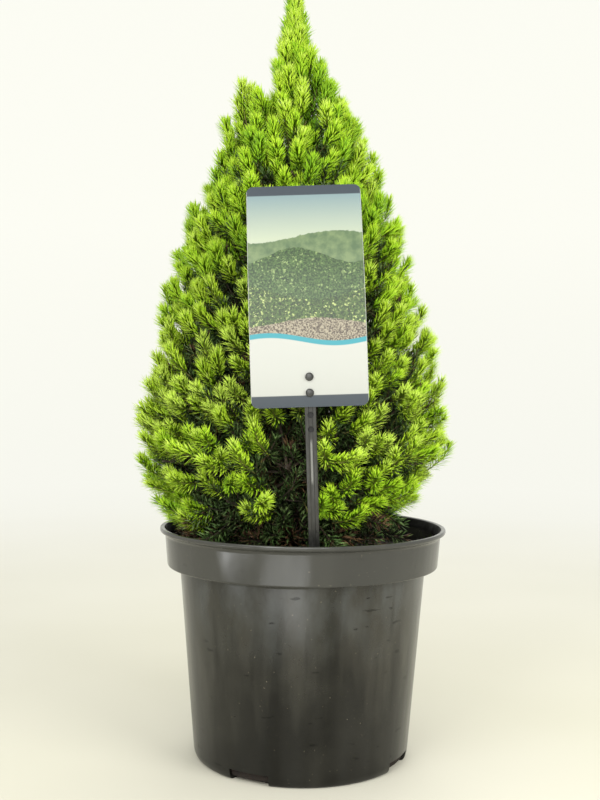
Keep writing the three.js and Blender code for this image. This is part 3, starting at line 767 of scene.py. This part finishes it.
class Growth:
    """Collects the needles and twigs of one mass."""

    def __init__(self):
        self.needles, self.twigs, self.twig_points = [], [], 0

    def add_twigs(self, paths, radii, sides, tint):
        points, faces = tubes(paths, np.broadcast_to(radii, paths.shape[:2]), sides)
        self.twigs.append((points, faces + self.twig_points, np.full(len(faces), tint)))
        self.twig_points += len(points)

    def add_shoots(self, base, tip, direction, style, tint):
        """Shoots with their needles: every needle a slim blade of four faces, pointed at both ends."""
        count, length, girth, leans, (crown_start, crown_lean), lift = STYLES[style]
        t = np.linspace(0.03, 1, count) ** 0.85
        along, ahead = curves(base, tip, direction, t)
        first, second = across(ahead)
        shape = (len(base), count)
        turn = np.arange(count) * GOLDEN_TURN + any_turn((len(base), 1))
        turn = turn + scatter(0.35, shape)
        lean = np.radians(mix(*leans, t**1.3)) + scatter(0.14, shape)
        spread = math.radians(crown_lean) * rng.uniform(0, 1, shape) ** 0.55
        lean = np.where(t > crown_start, spread, lean)[..., None]
        outward = np.cos(turn)[..., None] * first + np.sin(turn)[..., None] * second
        pointing = unit(np.cos(lean) * ahead + np.sin(lean) * outward + (0, 0, lift))
        size = length * np.interp(t, [0, 0.25, 0.7, 1], [0.78, 1, 1, 0.86])
        size = (size * (1 + scatter(0.1, shape)))[..., None]
        middle = along + pointing * size * 0.6
        end = middle + unit(pointing + 0.3 * ahead) * size * 0.4
        side, up = across(pointing)
        ridge = middle + NEEDLE_FOLD * girth * up
        points = np.stack([along, ridge + girth * side, ridge - girth * side, end], 2)
        kept = is_free(end) & is_free(middle)
        # Duller at the shoot's foot, brighter at its tip, and now and then one step off
        needle_tint = tint[:, None] + rng.choice([-1, 0, 0, 0, 0, 0, 1], shape) - (t < 0.2) + (t > 0.85)
        self.needles.append((points[kept], needle_tint[kept]))

    def join(self, starts, base, tip, direction, radius, tint):
        """Twigs from where they leave the branchlet to the shoots' bases, and on as the shoots' axes."""
        first, _ = curves(starts, base, unit(tip - base), np.linspace(0, 0.8, 3))
        second, _ = curves(base, tip, direction, np.linspace(0, 1, 3))
        paths = np.concatenate([first, second], 1)
        free = is_free(paths).all(axis=1)
        if free.any():
            self.add_twigs(paths[free], np.linspace(1.15 * radius, 0.55 * radius, paths.shape[1]), 3, tint)

    def grow(self, starts, base, tip, direction, style, tint, radius=0.6, twig=OLD_TWIG):
        """Shoots with their needles, and the twigs that carry them."""
        self.add_shoots(base, tip, direction, style, tint)
        self.join(starts, base, tip, direction, radius, twig)

    def build(self, name, tints, twig_materials, *replaced):
        points, tint = map(np.concatenate, zip(*self.needles))
        one = np.array([(0, 2, 1), (1, 2, 3), (0, 1, 3), (0, 3, 2)])
        tint = np.repeat(np.clip(tint, 0, len(tints) - 1), len(one))
        faces = repeated(one, len(points), 4)
        settle(add_mesh(f"needles_{name}", points, faces, tints, tint), "foliage", *replaced)
        points, faces, tint = map(np.concatenate, zip(*self.twigs))
        settle(add_mesh(f"twigs_{name}", points, faces, twig_materials, tint), "bark")


def shoots_at(mass, spacing, depth, spread, length):
    """Tips near the mass's surface, with the direction that a shoot has there and where it starts."""
    up, side = mass.grid(spacing, depth)
    tip = mass.place(up, side, depth + scatter(spread, len(up)))
    heading = mass.headings(side, 0.68)
    lifted = np.clip((290 - tip[:, 2]) / 500, 0, 0.2)
    rise = rise_at(tip[:, 2]) + lifted + scatter(0.32, len(up))
    span = length * (1 + scatter(0.16, len(up)))[:, None]
    base = tip - toward(heading, rise - 0.12) * span
    return base, tip, toward(heading, rise + 0.36)


def shoots_in(mass, layers, length=SHOOT_LENGTH):
    """The shoots of several layers as one."""
    made = [shoots_at(mass, *layer, length) for layer in layers]
    return [np.concatenate(parts) for parts in zip(*made)]


def nearest(points, anchors):
    distance = np.linalg.norm(points[:, None] - anchors[None], axis=-1)
    return anchors[np.argmin(distance, axis=1)]


def steps_to(highest, values):
    """Numbers of tints, whole, and from 0 to the highest."""
    return np.clip(np.round(values), 0, highest).astype(int)


def fresh_tint(tip):
    """Brightest at the crown's middle height, duller near the soil, and both in broad patches."""
    height = np.exp(-(((tip[:, 2] - 250) / 65) ** 2))
    low = np.clip((THIN_BELOW - tip[:, 2]) / 14, 0, 1)
    patches = rough(tip, 48, 2)
    return steps_to(4, 1.8 + 1.55 * height - 1.3 * low + 0.9 * patches + scatter(0.8, len(tip)))


def old_tint(tip, mean, contrast=0.8):
    """Greens of older needles, in broad patches."""
    return steps_to(2, mean + contrast * rough(tip, 40, 2) + scatter(0.8, len(tip)))


def clothe(mass):
    """Branchlets from the limb, then fresh shoots on them, older ones behind, and bare ones inside."""
    limb = mass.limb()
    outer, inner = Growth(), Growth()

    # Branchlets, the longer the further out they leave the limb
    up, side = mass.grid(23, 26, 0.3)
    end = mass.place(up, side, 25 + scatter(4, len(up)))
    heading = mass.headings(side, 0.3)
    direction = toward(heading, rise_at(end[:, 2]) + scatter(0.2, len(up)))
    first = 0.42 if mass.tier["has_bough"] else 0.15
    reach = np.linalg.norm(end - limb[0], axis=1)
    order = np.argsort(np.argsort(reach)) / max(1, len(reach) - 1)
    starts = limb[np.round(mix(first, 0.93, order) * (len(limb) - 1)).astype(int)]
    paths, _ = curves(starts, end, direction, np.linspace(0, 1, 9))
    inner.add_twigs(paths, np.linspace(1.0, 0.62, 9), 6, OLD_TWIG)
    anchors = np.concatenate([paths[:, -1], paths[:, 5]])

    # The fresh shoots at the surface, which thin out near the soil and leave the gap open
    base, tip, direction = shoots_in(mass, mass.tier["fresh"])
    x, y, z = tip.T
    left_out = (x > GAP_LEFT) & (x < GAP_RIGHT) & (y < GAP_FRONT) & (z < GAP_TOP)
    share = mix(LEFT_OUT, STRETCH_LEFT_OUT, (x > STRETCH_LEFT) & (x < STRETCH_RIGHT))
    left_out |= (z < THIN_BELOW) & (rng.uniform(0, 1, len(tip)) < share)
    left_out |= (x > RIGHT_FROM) & (z < RIGHT_LOWEST)
    base, tip, direction = base[~left_out], tip[~left_out], direction[~left_out]
    is_tuft = rng.uniform(0, 1, len(tip)) < np.clip((tip[:, 2] - 200) / 130, 0.1, 0.95)
    for style, chosen, share in (("tuft", is_tuft, 0.68), ("star", ~is_tuft, 0.92)):
        end, way = tip[chosen], direction[chosen]
        start = mix(end, base[chosen], share)
        anchor = nearest(start, anchors)
        outer.grow(anchor, start, end, way, style, fresh_tint(end), 0.45, YOUNG_TWIG)
        # The old wood under a fresh shoot still has its needles
        inner.add_shoots(anchor, start, unit(end - start), "joint", old_tint(end, 1.2, 0.7))

    base, tip, direction = shoots_in(mass, mass.tier["older"])
    inner.grow(nearest(base, anchors), base, tip, direction, "older", old_tint(tip, 1))
    for layer in mass.tier["bare"]:
        base, tip, direction = shoots_in(mass, [layer], BARE_SHOOT_LENGTH)
        tint = steps_to(4, 0.9 + scatter(1.7, len(tip)) - 0.9 * (tip[:, 2] > 230))
        inner.grow(nearest(base, limb), base, tip, direction, "inner", tint)
    return outer, inner


# Shoots that stand out of the outline near the top, and the one that ends the leader: each one's tip,
# and how far it leans in X and Y for each millimetre that it rises
STANDING = np.array([
    (-43, -9, 438, -0.1, -0.1), (-37, -14, 434, 0.05, -0.2), (-46, -4, 428, -0.35, 0),
    (-39, 4, 431, -0.1, 0.2), (-34, -18, 422, -0.1, -0.35), (9, -12, 447, 0.2, -0.15),
    (2, -13, 456, 0.1, -0.2), (-20, -13, 450, -0.2, -0.2), (29, -12, 412, 0.25, -0.2),
    (33, -4, 408, 0.4, 0), (-9, 2, 501, 0, 0), (-26, -13, 424, -0.2, -0.3),
    (-27, 3, 419, -0.2, 0.2), (-22, -5, 431, -0.1, -0.1), (24, 2, 424, 0.2, 0),
    (22, -14, 420, 0.2, -0.3), (16, -9, 434, 0.15, -0.2), (17, 5, 429, 0.15, 0.1),
])
STANDING_LENGTH = 17
# Shoots that stand out over the rim at the lower left
LEANING_TIPS = [
    (-102, -6, 180), (-98, -26, 178), (-99, 10, 172), (-95, -14, 166), (-88, -34, 166),
    (-90, -2, 158), (-84, -22, 156), (-92, 16, 164), (-76, -44, 160),
]
LEANING_LENGTH = 22


def build_leader(twig_materials):
    """The narrow top: shoots all round the trunk, nearly upright, and one that ends it."""
    growth = Growth()
    count = 74
    share = (np.arange(count) + 0.5) / count
    height = 412 + 84 * share**0.9
    around = np.arange(count) * GOLDEN_TURN + scatter(0.4, count)
    radius = np.maximum(reach_at(height) - 4 - rng.uniform(0, 5, count), 2.4)
    tip = round_axis(radius, around, height, mix(CROWN_AXIS_X, TRUNK_TIP[0], share))
    direction = toward(around, rise_at(height) - 0.08 + scatter(0.2, count))
    # None in the notch between the leader and the shoots that stand beside it on the left
    kept = (tip[:, 0] > -19) | (height < 434)
    tip, direction = tip[kept], direction[kept]
    base = tip - unit(direction - (0, 0, 0.12)) * (15 + scatter(3, len(tip)))[:, None]

    # Older ones close to the trunk, which close the view through
    count = 175
    height = rng.uniform(364, 452, count)
    around = any_turn(count)
    old_tip = round_axis(reach_at(height) * rng.uniform(0.12, 0.72, count), around, height)
    old_tip[:, 0] = np.where(height > 428, np.maximum(old_tip[:, 0], -12), old_tip[:, 0])
    old_way = toward(around, rng.uniform(0.8, 1.5, count))
    old_base = old_tip - old_way * 19
    starts = trunk_centre(old_base[:, 2] - 4)
    growth.grow(starts, old_base, old_tip, old_way, "older", rng.integers(-2, 1, count), 0.5)

    standing_tip, lean = STANDING[:, :3], STANDING[:, 3:]
    standing_way = unit(np.insert(lean, 2, 1, axis=1))
    base = np.concatenate([base, standing_tip - standing_way * STANDING_LENGTH])
    tip = np.concatenate([tip, standing_tip])
    direction = np.concatenate([direction, standing_way])
    out = np.linalg.norm(base[:, :2] - (CROWN_AXIS_X, 0), axis=1)
    starts = trunk_centre(np.clip(base[:, 2] - 8 - out, 380, 478))
    tint = steps_to(4, 2.1 + scatter(1.1, len(tip)))
    growth.grow(starts, base, tip, direction, "tuft", tint, 0.62, YOUNG_TWIG)
    growth.build("leader", FRESH_TINTS, twig_materials, "foliage_leader")


def build_droop(masses, twig_materials):
    """Weak old sprays that hang over the soil inside the rim, and dead ones by the trunk."""
    growth = Growth()
    for mass in (mass for mass in masses if mass.tier is TIERS[0]):
        limb = mass.limb()
        count = 5 if mass.sector < 3 else 16
        heading = mass.angle + scatter(HALF_SECTOR, count)
        tip = round_axis(rng.uniform(42, 80, count), heading, rng.uniform(139, 158, count))
        # They keep off the label's stem
        tip = tip[(np.abs(tip[:, 0] - 6) > 13) | (tip[:, 1] > 0)]
        heading = np.arctan2(tip[:, 1], tip[:, 0] - CROWN_AXIS_X) + scatter(0.5, len(tip))
        direction = toward(heading, rng.uniform(-0.5, 0.1, len(tip)))
        base = tip - unit(direction - (0, 0, 0.3)) * rng.uniform(19, 26, (len(tip), 1))
        tint = rng.choice([0, 1, 1, 2, 3], len(tip))
        growth.grow(nearest(base, limb), base, tip, direction, "older", tint)

        count = 34 if mass.sector in (0, 1, 5) else 9
        heading = mass.angle + scatter(HALF_SECTOR, count)
        tip = round_axis(rng.uniform(16, 64, count), heading, rng.uniform(144, 212, count))
        direction = toward(heading + scatter(0.6, count), scatter(0.5, count))
        base = tip - direction * rng.uniform(14, 24, (count, 1))
        tint = rng.choice([0, 3, 3, 3, 4], count)
        growth.grow(nearest(base, limb), base, tip, direction, "inner", tint)
    growth.build("droop", OLD_TINTS, twig_materials)


def build_leaning(masses, twig_materials):
    """The fresh shoots that lean out over the rim."""
    growth = Growth()
    limb = next(mass for mass in masses if mass.name == "low_front_left").limb()
    tip = np.array(LEANING_TIPS, float)
    direction = unit((tip - (CROWN_AXIS_X, 0, 0)) * (1, 1, 0)) + (0, 0, 0.55)
    direction = unit(direction + scatter(0.15, direction.shape))
    base = tip - unit(direction - (0, 0, 0.2)) * LEANING_LENGTH
    tint = rng.integers(1, 4, len(tip))
    growth.grow(nearest(base, limb), base, tip, direction, "star", tint, 0.55, YOUNG_TWIG)
    growth.build("leaning", FRESH_TINTS, twig_materials)


def build_crown():
    bark_material = bark("bark", rgb(30, 24, 18), rgb(74, 60, 46), 2.4)
    young = bark("young_twig", rgb(86, 84, 40), rgb(120, 112, 56), 1.6)
    old = bark("old_twig", rgb(30, 23, 17), rgb(62, 48, 34), 1.6)
    masses = [Mass(tier, sector) for tier in range(len(TIERS)) for sector in range(SECTOR_COUNT)]
    build_trunk(bark_material)
    build_limbs(masses, bark_material)
    for mass in masses:
        outer, inner = clothe(mass)
        outer.build(f"{mass.name}_fresh", FRESH_TINTS, [young, old], f"foliage_{mass.name}")
        inner.build(f"{mass.name}_older", OLD_TINTS, [young, old])
    build_leader([young, old])
    build_droop(masses, [young, old])
    build_leaning(masses, [young, old])


# The plant label
def card_print():
    """A generic garden print: dark bands, pale sky, rolling green ground, a blank cream foot."""
    paint = Paint("card_print", rgb(236, 235, 225), 0.32)
    x, _, z = paint.axes()
    cosine, sine = math.cos(CARD_TILT), math.sin(CARD_TILT)
    right, high = paint.minus(x, CARD_X), paint.minus(z, CARD_BOTTOM)
    u = paint.plus(paint.times(right, cosine), paint.times(high, sine))
    v = paint.minus(paint.times(high, cosine), paint.times(right, sine))

    def edge(height, swing, wave, shift, fuzz=0.0, size=2.0):
        """How far a point is above a wavy line, which may be frayed."""
        bend = paint.math("SINE", paint.plus(paint.math("DIVIDE", u, wave), shift))
        line = paint.plus(paint.times(bend, swing), height)
        if fuzz:
            crumbs = paint.minus(paint.noise(size, detail=3), 0.5)
            line = paint.plus(line, paint.times(crumbs, fuzz))
        return paint.minus(v, line)

    def under(value, below, above, soft=0.25):
        """One colour under a line, and another above it."""
        return paint.blend(paint.ramp(value, -soft, soft), below, above)

    leaf = paint.spots(1.1, 0.38, 0.62, detail=3, rough=0.7)
    dapple = paint.spots(5, 0.35, 0.65)
    sunlit = paint.times(paint.spots(1.5, 0.56, 0.66, detail=2), paint.ramp(dapple, 0.2, 0.8))
    sky = paint.blend(paint.ramp(v, 96, 121), rgb(152, 159, 140), rgb(108, 126, 128))
    far = paint.blend(dapple, rgb(68, 88, 60), rgb(98, 114, 78))
    mid = paint.blend(leaf, rgb(18, 38, 18), rgb(66, 90, 46))
    mid = paint.over(rgb(134, 152, 96), 0.8, sunlit, mid)
    near = paint.blend(leaf, rgb(10, 26, 10), rgb(62, 86, 34))
    near = paint.blend(sunlit, near, rgb(158, 170, 104))
    gravel = paint.spots(0.9, 0.4, 0.6, detail=2)
    ground = paint.blend(gravel, rgb(58, 47, 38), rgb(136, 128, 108))
    band = rgb(49, 56, 63)
    foot = edge(39.5, 2.6, 12.5, 3.4)
    picture = sky
    for line, colour in (
        (edge(97, 3.2, 15, 0.4, 2.4), far),
        (edge(86, 4.6, 10.5, 2.1, 3.4, 3), mid),
        (edge(66, 5.5, 17, 4.4, 3.2, 3), near),
        (edge(48, 2.2, 12, 1.2, 1.5), ground),
        (foot, rgb(25, 121, 132)),
        (paint.plus(foot, 2.8), rgb(156, 157, 151)),
        (paint.minus(v, 6.6), band),
    ):
        picture = under(line, colour, picture)
    picture = under(paint.minus(v, CARD_TOP - CARD_BOTTOM - 5.8), picture, band)
    rim = paint.minus(paint.math("ABSOLUTE", u), CARD_WIDTH / 2 - 0.25)
    return paint.coloured(under(rim, picture, rgb(142, 144, 138), 0.15))


def dark_plastic():
    """The stem's plastic: dark, satin, lightly scratched along its length, with a painted highlight down
    its channel.
    """
    paint = Paint("stem_plastic", rgb(52, 52, 50), 0.34)
    scratches = paint.noise(1.4, detail=3, stretch=(1, 1, 0.05))
    plain = paint.blend(paint.ramp(scratches, 0.4, 0.7), rgb(38, 38, 36), rgb(50, 50, 48))
    x, _, z = paint.axes()
    lean = paint.times(paint.minus(z, CARD_BOTTOM), math.tan(CARD_TILT))
    aside = paint.math("ABSOLUTE", paint.plus(paint.minus(x, CARD_X), lean))
    # A pale strip down the middle of the channel: a painted highlight
    painted_highlight = paint.times(paint.ramp(aside, 0.75, 0.35), paint.ramp(z, 186, 189))
    painted_highlight = paint.times(painted_highlight, paint.ramp(z, 213, 210))
    paint.set("Roughness", paint.spots(6, 0.3, 0.7, 0.26, 0.46))
    paint.bump(scratches, 0.04)
    return paint.coloured(paint.blend(painted_highlight, plain, rgb(108, 108, 105)))


def askew(points):
    """Leans the label's points sideways, as the card stands."""
    x, y, z = np.moveaxis(points, -1, 0)
    cosine, sine = math.cos(CARD_TILT), math.sin(CARD_TILT)
    high = z - CARD_BOTTOM
    return np.stack([CARD_X + x * cosine - high * sine, y, CARD_BOTTOM + high * cosine + x * sine], -1)


def build_card():
    """A thin bowed card with round corners."""
    height = CARD_TOP - CARD_BOTTOM
    arc = CARD_CORNER * (1 - np.cos(np.linspace(0, math.pi / 2, 7)))
    rows = np.concatenate([arc, np.linspace(arc[-1], height - arc[-1], 40)[1:-1], height - arc[::-1]])
    into = CARD_CORNER - np.minimum(np.minimum(rows, height - rows), CARD_CORNER)
    half = CARD_WIDTH / 2 - CARD_CORNER + np.sqrt(CARD_CORNER**2 - into**2)
    # Each row of points runs over the front and back again behind it
    columns = 9
    width = np.linspace(-1, 1, columns)
    x = half[:, None] * np.concatenate([width, width[::-1]])
    z = np.broadcast_to((CARD_BOTTOM + rows)[:, None], x.shape)
    y = label_line(z) + np.repeat([-CARD_THICKNESS / 2, CARD_THICKNESS / 2], columns)
    ring = 2 * columns
    foot = np.array([(i, ring - 1 - i, ring - 2 - i, i + 1) for i in range(columns - 1)])
    faces = np.concatenate([skin(*x.shape), foot, foot[:, INSIDE_OUT] + x.size - ring])
    card = add_mesh("card_sheet", askew(np.stack([x, y, z], -1)), faces, [card_print()])
    sharpen(card, 50)
    settle(card, "card", "label_card")


def round_bar(radius, length):
    """A short round bar along Y with its front edge rounded."""
    front = [(0.02, 0), (radius * 0.55, 0), (radius * 0.86, 0.25), (radius, 0.8)]
    points, faces = turned([*front, (radius, length), (0.02, length)], 24)
    return points[:, [0, 2, 1]] * (1, 1, -1), faces


def build_stem():
    """A flat moulded stem with a shallow channel down its front, two holes whose insides are painted dark
    as shade, and the pegs it ends in.
    """
    half, thick = STEM_WIDTH / 2, STEM_THICKNESS
    left = [(-half, 0, 0.5), (-half + 1.9, 0, 0.25), (-half + 2.3, 0.5, 0.2)]
    right = [(-x, y, radius) for x, y, radius in reversed(left)]
    section = rounded([*left, *right, (half, thick, 0.4), (-half, thick, 0.4)], 4)
    steps, taper = 60, 14
    heights = np.linspace(LABEL_FOOT, STEM_TOP, steps)
    # The foot tapers to a blunt point, which is in the soil
    width = np.interp(heights, [LABEL_FOOT, LABEL_FOOT + taper], [0.35, 1])
    line = label_line(heights) + STEM_BEHIND - thick / 2
    x = section[:, 0] * width[:, None]
    y = section[:, 1] + line[:, None]
    z = np.broadcast_to(heights[:, None], x.shape)
    material = dark_plastic()
    # The holes' insides are near black: painted shade in the recesses
    hole_shade = Paint("stem_hole_painted_shade", rgb(14, 14, 14), 0.6).material
    stem = add_mesh("stem_bar", askew(np.stack([x, y, z], -1)), skin(*x.shape), [material, hole_shade])
    close_ends(stem)
    hole_radius, hole_reach, hole_depth = 1.75, 8, 1.5
    cutters = []
    for height in (226.5, 218.3):
        points, faces = round_bar(hole_radius, hole_reach)
        front = label_line(height) + STEM_BEHIND - STEM_THICKNESS / 2
        points = points + (0, front + hole_depth - hole_reach, height)
        cutters.append(add_mesh("hole", askew(points), faces, [material, hole_shade], np.ones(len(faces))))
    cut(stem, cutters)
    sharpen(stem, 30)
    settle(stem, "stem", "label_stem")
    for height in PEG_HEIGHTS:
        points, faces = round_bar(PEG_RADIUS + 0.15, 3.2)
        points = points + (0, label_line(height) - 1.9, height)
        peg = add_mesh(f"stem_peg_{height}", askew(points), faces, [material])
        sharpen(peg, 50)
        settle(peg, "stem")


def close_ends(piece):
    """Fills the two open ends of a tube."""
    mesh = bmesh.new()
    mesh.from_mesh(piece.data)
    bmesh.ops.holes_fill(mesh, edges=[edge for edge in mesh.edges if edge.is_boundary])
    bmesh.ops.recalc_face_normals(mesh, faces=mesh.faces)
    mesh.to_mesh(piece.data)
    mesh.free()


# Studio, camera and lights
def build_stage():
    """A pale floor that curves up into a pale round backdrop, far enough off for every view."""
    radius, curve, height, segments = 1750, 420, 1500, 96
    bends = np.linspace(0, math.pi / 2, 15)
    outline = [(r, 0) for r in np.linspace(2, radius - curve, 24)]
    outline += [(radius - curve + curve * math.sin(t), curve - curve * math.cos(t)) for t in bends[1:]]
    outline += [(radius, height)]
    points, faces = turned(outline, segments)
    # The last band would join the backdrop's top to the middle, as a roof
    faces = faces.reshape(segments, len(outline), 4)[:, :-1].reshape(-1, 4)
    paint = Paint("studio_paper", rgb(226, 224, 215), 0.7)
    far = paint.node("ShaderNodeVectorMath", {"operation": "LENGTH"}, _0=paint.place()).outputs["Value"]
    away = paint.ramp(far, 260, 1500)
    cloud = paint.spots(420, 0.35, 0.65, detail=2)
    floor = paint.blend(cloud, rgb(194, 191, 175), rgb(200, 197, 183))
    # Far off it glows a little, so that the backdrop stays nearly white
    paint.set("Emission Color", rgb(250, 250, 242))
    paint.set("Emission Strength", paint.times(away, paint.ramp(paint.axes()[2], 0, 600, 0.74, 0.81)))
    paint.set("Specular IOR Level", 0.2)
    paper = paint.coloured(paint.blend(away, floor, rgb(110, 110, 106)))
    add_mesh("studio", points, faces[:, ::-1], [paper])


# Each lamp's place, what it faces, its two sides, its power and its colour
DAYLIGHT = (1.0, 1.0, 0.985)
REFLECTED = (0.97, 0.99, 1.0)
LAMPS = {
    "key": ((-660, -960, 1000), (0, 0, 230), (700, 500), 6.5, DAYLIGHT),
    "front": ((-150, -1450, 650), (0, 0, 240), (1300, 900), 13, DAYLIGHT),
    # Reflector cards on the floor, which the pot's plastic shines back
    "card_front": ((-75, -335, 2), (-75, -335, 100), (190, 150), 0.22, REFLECTED),
    "card_side": ((-385, -248, 2), (-385, -248, 100), (120, 110), 0.3, REFLECTED),
    "card_left": ((-315, -350, 2), (-315, -350, 100), (80, 80), 0.12, REFLECTED),
    "fill": ((780, -720, 620), (0, 0, 230), (600, 600), 10, DAYLIGHT),
    "back": ((200, 900, 1200), (0, 0, 300), (800, 500), 6, DAYLIGHT),
}
AIR_COLOUR = (0.985, 1.0, 0.985, 1.0)
AIR_STRENGTH = 0.98


def light_scene():
    scene = bpy.context.scene
    scene.view_settings.view_transform = "Standard"
    scene.world = bpy.data.worlds.new("studio_air")
    scene.world.use_nodes = True
    air = scene.world.node_tree.nodes["Background"].inputs
    air["Color"].default_value = AIR_COLOUR
    air["Strength"].default_value = AIR_STRENGTH
    for name, (place, target, sides, power, colour) in LAMPS.items():
        light = bpy.data.lights.new(name, "AREA")
        light.shape = "RECTANGLE"
        light.size, light.size_y = (side * MM for side in sides)
        light.energy = power
        light.color = colour
        lamp = add_object(name, light)
        lamp.location = Vector(place) * MM
        lamp.rotation_euler = (Vector(target) * MM - lamp.location).to_track_quat("-Z", "Y").to_euler()
        lamp.visible_camera = False
        # The pot doesn't mirror the fill
        lamp.visible_glossy = name != "fill"


# The photograph's own viewpoint: level with the crown's lower half, close in front, slightly askew
CAMERA_PLACE = (-2.8, -694, 242)
CAMERA_PITCH = -0.7
CAMERA_ROLL = 0.63
CAMERA_LENS = 46.88
SENSOR_WIDTH = 36


def place_camera():
    camera = bpy.data.cameras.new("camera")
    camera.lens = CAMERA_LENS
    camera.sensor_width = SENSOR_WIDTH
    camera.clip_start = 0.02
    eye = add_object("camera", camera)
    place = Matrix.Translation(Vector(CAMERA_PLACE) * MM)
    pitch = Matrix.Rotation(math.radians(90 + CAMERA_PITCH), 4, "X")
    roll = Matrix.Rotation(math.radians(CAMERA_ROLL), 4, "Z")
    eye.matrix_world = place @ pitch @ roll
    bpy.context.scene.camera = eye


place_camera()
light_scene()
build_stage()
build_pot()
build_soil()
build_crown()
build_card()
build_stem()

bpy.context.view_layer.update()
